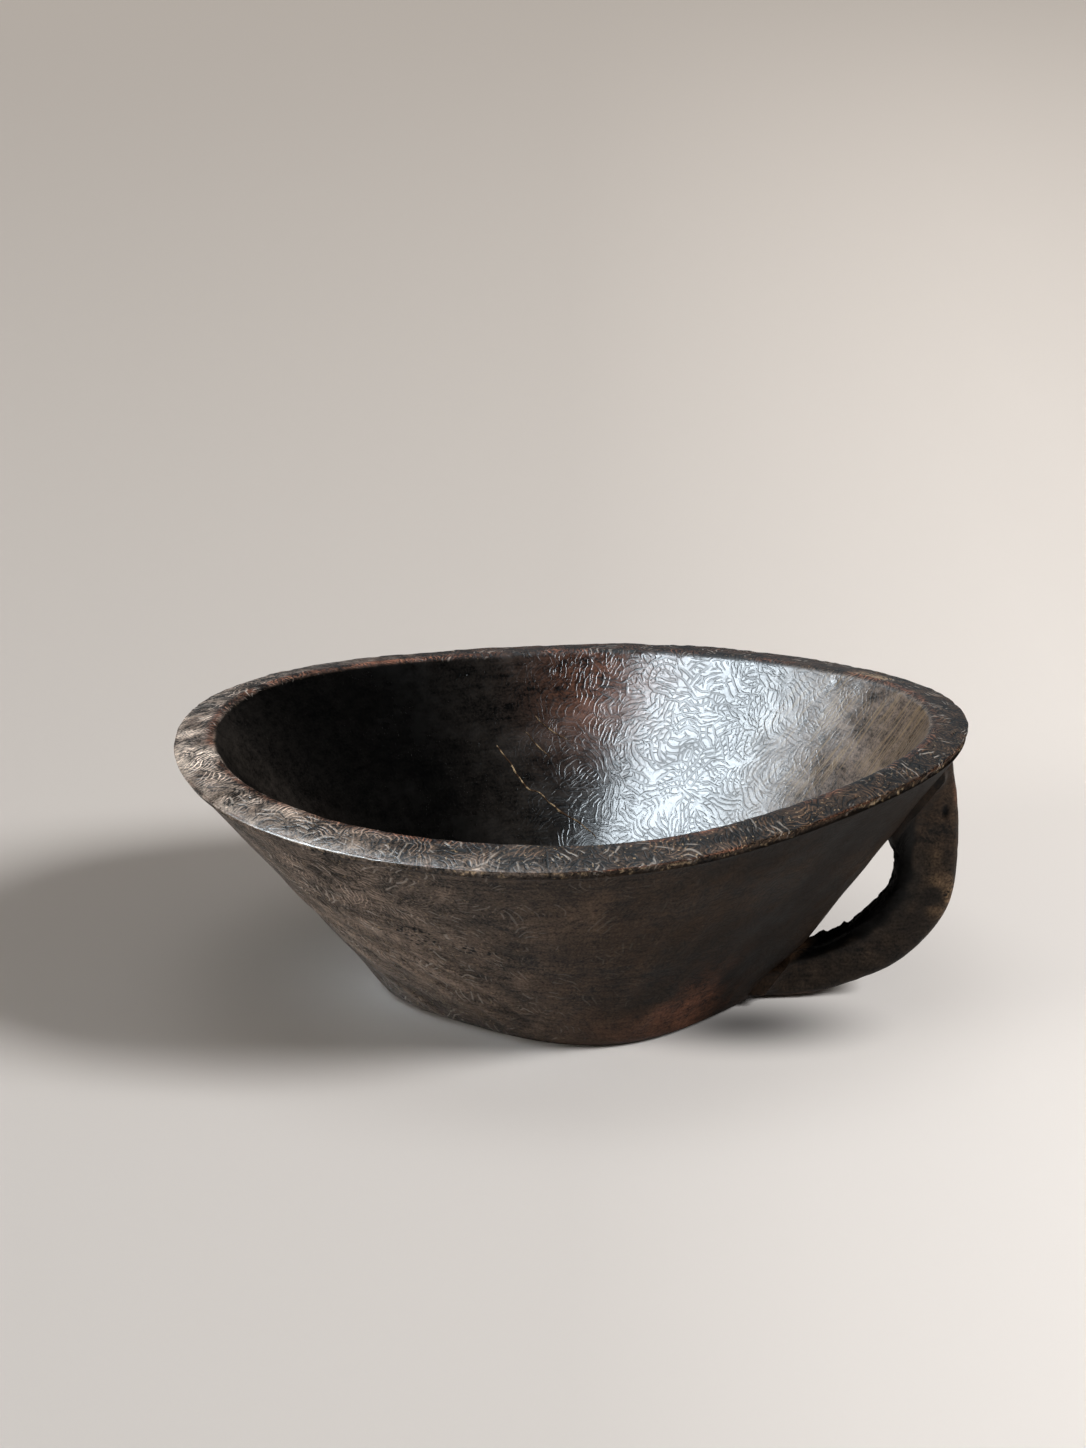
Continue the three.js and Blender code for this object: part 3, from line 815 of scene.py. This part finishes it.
class Graph:
    """A material's nodes, added by short calls."""

    def __init__(self, name):
        self.material = bpy.data.materials.new(name)
        self.material.use_nodes = True
        self.tree = self.material.node_tree
        self.shader = self.tree.nodes["Principled BSDF"]
        self.place = self.vector("SCALE", self.node("TexCoord").outputs["Object"], Scale=1 / MM)
        self.normal = Wire(self, self.node("NewGeometry").outputs["Normal"])

    def node(self, kind, inputs=None, **settings):
        node = self.tree.nodes.new("ShaderNode" + kind)
        for key, value in settings.items():
            setattr(node, key, value)
        for key, value in (inputs or {}).items():
            self.join(value, node.inputs[key])
        return node

    def join(self, value, socket):
        if isinstance(value, Wire):
            value = value.socket
        if isinstance(value, bpy.types.NodeSocket):
            self.tree.links.new(value, socket)
        else:
            socket.default_value = value

    def set(self, **values):
        for key, value in values.items():
            self.join(value, self.shader.inputs[key.replace("_", " ")])

    def math(self, operation, a, b=0):
        return Wire(self, self.node("Math", {0: a, 1: b}, operation=operation).outputs[0])

    def vector(self, operation, a, b=None, **inputs):
        inputs[0] = a
        if b is not None:
            inputs[1] = b
        node = self.node("VectorMath", inputs, operation=operation)
        name = "Value" if operation in ("DOT_PRODUCT", "LENGTH") else "Vector"
        return Wire(self, node.outputs[name])

    def rise(self, value, start, end, low=0.0, high=1.0):
        """Goes smoothly from low at start to high at end."""
        inputs = {"Value": value, "From Min": start, "From Max": end, "To Min": low, "To Max": high}
        return Wire(self, self.node("MapRange", inputs, interpolation_type="SMOOTHSTEP").outputs[0])

    def mix(self, share, first, second):
        colours = [(*colour, 1) if isinstance(colour, tuple) else colour for colour in (first, second)]
        inputs = {MIX_SHARE: share, MIX_FIRST: colours[0], MIX_SECOND: colours[1]}
        return Wire(self, self.node("Mix", inputs, data_type="RGBA").outputs[MIX_RESULT])

    def attribute(self, name):
        return Wire(self, self.node("Attribute", attribute_name=name).outputs["Color"])

    def number(self, name):
        return Wire(self, self.node("Attribute", attribute_name=name).outputs["Fac"])

    def noise(self, size, detail=2.0, place=None, stretch=(1, 1, 1), output="Fac"):
        """Noise with features of a size in millimetres."""
        scale = tuple(1 / (size * by) for by in stretch)
        place = self.vector("MULTIPLY", place or self.place, scale)
        node = self.node("TexNoise", {"Vector": place, "Scale": 1.0, "Detail": detail})
        return Wire(self, node.outputs[output])

    def cells(self, size, place, feature="F1"):
        return self.node("TexVoronoi", {"Vector": place, "Scale": 1 / size}, feature=feature)

    def bump(self, height, distance, strength=1.0):
        """The normal over a height, which is in millimetres times the distance."""
        inputs = {"Height": height, "Distance": distance * MM, "Strength": strength}
        return Wire(self, self.node("Bump", inputs).outputs[0])

    def drift(self, colour, scale=1.0):
        """A random colour as a step in any direction."""
        return self.vector("SCALE", self.vector("SUBTRACT", colour, (0.5, 0.5, 0.5)), Scale=scale)

    def strokes(self, size, spacing, shift, order=0.6):
        """Short parallel gouges in patches, each patch turned its own way. 1 is a ridge's top
        and -1 a groove's bottom. Neighbours agree more on their way with more order."""
        place = self.vector("ADD", self.place, (shift, shift, shift))
        place = self.vector("ADD", place, self.drift(self.noise(9, 1.0, place, output="Color"), 6.0))
        cells = self.cells(size, place)
        middle = cells.outputs["Position"]
        offset = self.vector("SUBTRACT", place, middle)
        flow = self.drift(self.noise(45, 0.0, Wire(self, middle), output="Color"), 3 * order)
        chance = self.drift(cells.outputs["Color"])
        way = self.vector("ADD", flow, self.vector("SCALE", chance, Scale=1 - order))
        upright = self.vector("DOT_PRODUCT", way, self.normal)
        way = self.vector("SUBTRACT", way, self.vector("SCALE", self.normal, Scale=upright))
        way = self.vector("NORMALIZE", way)
        side = self.vector("CROSS_PRODUCT", self.normal, way)
        along = self.vector("DOT_PRODUCT", offset, way)
        across = self.vector("DOT_PRODUCT", offset, side)
        curl = self.vector("DOT_PRODUCT", chance, (0.12, 0.12, 0.12))
        wave = self.math("SINE", (across + along * along * curl) * (2 * math.pi / spacing))
        return wave * self.rise(cells.outputs["Distance"], 0.9, 0.5)


def wood_material(name, polish, grain):
    """Dark hand-cut wood. Its colour, and how strong each other look is, are painted on the mesh."""
    graph = Graph(name)
    colour = graph.attribute("paint")
    cut, hatch = graph.number("cut"), graph.number("hatch")

    wide = graph.strokes(8, 2.5, 0)
    narrow = graph.strokes(12, 3.8, 40, order=0.3)
    groove = graph.rise(graph.math("MAXIMUM", wide, narrow), 0.2, 1)
    scratch = graph.rise(graph.strokes(9, 2.2, 80, order=0.6), 0.35, 0.95) * hatch
    scratch = scratch * graph.rise(graph.noise(12, 2.0), 0.4, 0.58)
    nick = graph.rise(graph.strokes(15, 3.6, 120, order=0.5), 0.5, 0.95)
    nick = nick * graph.number("nicks") * graph.rise(graph.noise(9, 2.0), 0.5, 0.62)
    fibre = graph.noise(1.6, 3.0, stretch=(14, 4, 1)) - 0.5
    grit = graph.noise(1.1, 3.0) - 0.5
    mottle = graph.noise(6, 5.0) - 0.5
    stain = graph.noise(26, 3.0, stretch=(1.6, 1, 0.7)) - 0.5
    speck = graph.rise(graph.noise(1.4, 1.0), 0.66, 0.74)
    warp = graph.vector("SCALE", graph.noise(3, 1.0, output="Color"), Scale=3.0)
    pits = graph.cells(2.8, graph.vector("ADD", graph.place, warp))
    wormy = graph.rise(graph.number("worms") + mottle * 0.8, 0.45, 0.55)
    hole = graph.rise(pits.outputs["Distance"], 0.42, 0.3) * wormy

    # Brightness: random tone and grain, with painted light: scratches lighter, partly as painted glints, and
    # the gouges' grooves darker as painted shade
    light = 1.3 - hatch * 0.5 + mottle * 2.6 + stain * 2.4 + grit * 3.4 + fibre * grain
    light = light - groove * cut * 0.9 + scratch * 2.4
    colour = graph.vector("SCALE", colour, Scale=graph.math("MAXIMUM", light, 0.06))
    turned = {"Vector": graph.place, "Angle": STREAKS_LEAN}
    leaning = graph.node("VectorRotate", turned, rotation_type="Y_AXIS")
    streak = graph.noise(1, 3.0, Wire(graph, leaning.outputs[0]), stretch=(34, 1, 6))
    streak = graph.rise(streak, 0.5, 0.62) * graph.number("streaks")
    colour = graph.mix(streak * 0.9, colour, TAN)
    # Pale nicks, partly painted glints
    colour = graph.mix(nick * 0.5, colour, PALE)
    colour = graph.mix(speck * graph.number("specks") * 0.8, colour, TAN)
    # Painted shade: the worm holes are near black
    colour = graph.mix(hole, colour, PAINTED_SHADE_BLACK)

    height = mottle * 0.14 + fibre * 0.08 + grit * 0.05 - groove * cut * 0.14 + scratch * 0.1 + nick * 0.22
    height = height * (1 - graph.number("smooth") * 0.8) - hole * 0.5
    rough = 0.8 - graph.number("shine") * polish + mottle * 0.25 + stain * 0.4 + groove * cut * 0.15
    graph.set(Base_Color=colour, Roughness=graph.math("MAXIMUM", rough, 0.27), Normal=graph.bump(height, 1.0))
    graph.set(Specular_IOR_Level=0.21)
    return graph.material


def filler_material():
    graph = Graph("crack_filler")
    fresh = graph.number("fresh")
    colour = graph.mix(graph.rise(graph.noise(3.5, 3.0), 0.42, 0.62) * fresh, BROWN, TAN)
    graph.set(Base_Color=colour, Roughness=0.9, Specular_IOR_Level=0.02)
    graph.set(Normal=graph.bump(graph.noise(0.8, 2.0), 0.3))
    return graph.material


def floor_material():
    graph = Graph("floor_paper")
    # Painted shadow: the floor's colour is darker round a point under the handle's root
    offset = graph.vector("DIVIDE", graph.vector("SUBTRACT", graph.place, PAINTED_SHADOW_MIDDLE), PAINTED_SHADOW_REACH)
    shade = graph.rise(graph.vector("LENGTH", offset), 0, 1, 0.2, 1)
    colour = graph.vector("SCALE", graph.attribute("paint"), Scale=shade)
    graph.set(Base_Color=colour, Roughness=1.0, Specular_IOR_Level=0.0)
    return graph.material


# Floor, light and camera

def make_floor():
    """A pale floor whose colour is painted darker to the left and far away, and lighter to the right, as
    painted light and shade.
    """
    place = (np.arange(FLOOR_CELLS + 1) / FLOOR_CELLS - 0.5) * FLOOR_SIZE
    x, y = (part.ravel() for part in np.meshgrid(place, place))
    # Shares of the way to the far colour, and of painted light towards the bright side or, below 0, painted
    # shade towards the dull one
    far = 1 - 1 / (1 + np.maximum(y + 0.2, 0) / 1.6)
    side = np.minimum(np.tanh(x / (0.28 + 0.13 * np.maximum(y + 0.5, 0))), 0.65) * bell(np.hypot(x, y), 0, 5)
    colour = mixed(FLOOR_NEAR, FLOOR_FAR, far) * (1 + np.where(side > 0, 0.55, 0.2) * side)[:, None]
    faces = []
    for row in range(FLOOR_CELLS):
        for column in range(FLOOR_CELLS):
            corner = row * (FLOOR_CELLS + 1) + column
            faces.append((corner, corner + 1, corner + FLOOR_CELLS + 2, corner + FLOOR_CELLS + 1))
    floor = mesh_object("floor", np.column_stack([x, y, 0 * x]), faces, paint=colour)
    floor.data.materials.append(floor_material())


def add_light(name, kind, way, **settings):
    """A light that shines on the bowl from a direction."""
    light = bpy.data.objects.new(name, bpy.data.lights.new(name, kind))
    for key, value in settings.items():
        setattr(light.data, key, value)
    bpy.context.collection.objects.link(light)
    light.location = Vector(way).normalized() * LAMP_DISTANCE
    light.rotation_euler = Vector(way).to_track_quat("Z", "Y").to_euler()
    return light


def add_lights():
    """A broad light from the right casts the shadow, and a cool box high on the left only makes
    the gloss. A low box on the left in front brightens the wall there, and one above fills."""
    key = add_light("key", "SUN", (0.8, -0.25, 0.6), energy=3.35, color=(1, 0.992, 0.985))
    key.data.angle = math.radians(20)
    key.visible_glossy = False
    gloss = add_light("gloss_box", "AREA", (-0.707, -0.232, 0.664), energy=1310, size=2.7)
    gloss.data.color = (0.82, 0.92, 1)
    gloss.data.shape = "RECTANGLE"
    gloss.data.size_y = 2
    gloss.visible_diffuse = False
    add_light("fill_box", "AREA", (-0.9, -0.4, 0.3), energy=50, size=1.4, color=(1, 0.97, 0.93))
    top = add_light("top_box", "AREA", (-0.1, 0.1, 0.98), energy=22, size=2.4)
    top.visible_glossy = False


def add_world():
    """Soft light all round, which glossy wood hardly mirrors, and the floor's far colour behind."""
    world = bpy.data.worlds.new("studio")
    world.use_nodes = True
    bpy.context.scene.world = world
    tree = world.node_tree
    path = tree.nodes.new("ShaderNodeLightPath")
    mirrored = tree.nodes.new("ShaderNodeMix")
    seen = tree.nodes.new("ShaderNodeMix")
    for shade, ray, colour in ((mirrored, "Is Glossy Ray", MIRRORED), (seen, "Is Camera Ray", FLOOR_FAR)):
        shade.data_type = "RGBA"
        tree.links.new(path.outputs[ray], shade.inputs[MIX_SHARE])
        shade.inputs[MIX_SECOND].default_value = (*colour, 1)
    mirrored.inputs[MIX_FIRST].default_value = (*AMBIENT, 1)
    tree.links.new(mirrored.outputs[MIX_RESULT], seen.inputs[MIX_FIRST])
    tree.links.new(seen.outputs[MIX_RESULT], tree.nodes["Background"].inputs["Color"])


def add_camera():
    camera = bpy.data.objects.new("camera", bpy.data.cameras.new("camera"))
    bpy.context.collection.objects.link(camera)
    tilt = math.radians(CAMERA_TILT)
    camera.location = CAMERA_TARGET + CAMERA_DISTANCE * Vector((0, -math.cos(tilt), math.sin(tilt)))
    camera.rotation_euler = (math.pi / 2 - tilt, 0, 0)
    camera.data.sensor_fit = "VERTICAL"
    camera.data.sensor_height = SENSOR
    camera.data.lens = FOCAL_PIXELS / FRAME_HEIGHT * SENSOR
    camera.data.shift_x = -TARGET_RIGHT / FRAME_HEIGHT
    camera.data.shift_y = TARGET_DOWN / FRAME_HEIGHT
    camera.data.clip_end = 2 * FLOOR_SIZE
    bpy.context.scene.camera = camera


def carry(piece, node, material):
    """The piece stands for a node of the solid model, and moves with it."""
    piece.data.materials.append(material)
    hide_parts(node)
    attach(piece, "root")


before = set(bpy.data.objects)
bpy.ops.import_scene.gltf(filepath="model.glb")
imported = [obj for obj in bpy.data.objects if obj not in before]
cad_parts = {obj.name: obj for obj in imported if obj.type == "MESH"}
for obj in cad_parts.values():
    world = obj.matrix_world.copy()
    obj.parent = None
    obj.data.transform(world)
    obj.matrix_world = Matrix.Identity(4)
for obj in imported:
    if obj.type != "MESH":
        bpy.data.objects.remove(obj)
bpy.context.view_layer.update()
bpy.context.scene.view_settings.view_transform = "Standard"
add_camera()
add_lights()
add_world()
make_floor()

bowl = make_bowl()
carry(bowl, "bowl", wood_material("bowl_wood", polish=0.5, grain=2.0))
carry(make_handle(), "handle", wood_material("handle_wood", polish=0.5, grain=1.5))
surface = BVHTree.FromObject(bowl, bpy.context.evaluated_depsgraph_get())
filler = filler_material()
for crack, crack_path in CRACKS.items():
    carry(make_thread(crack, crack_path, surface), crack, filler)
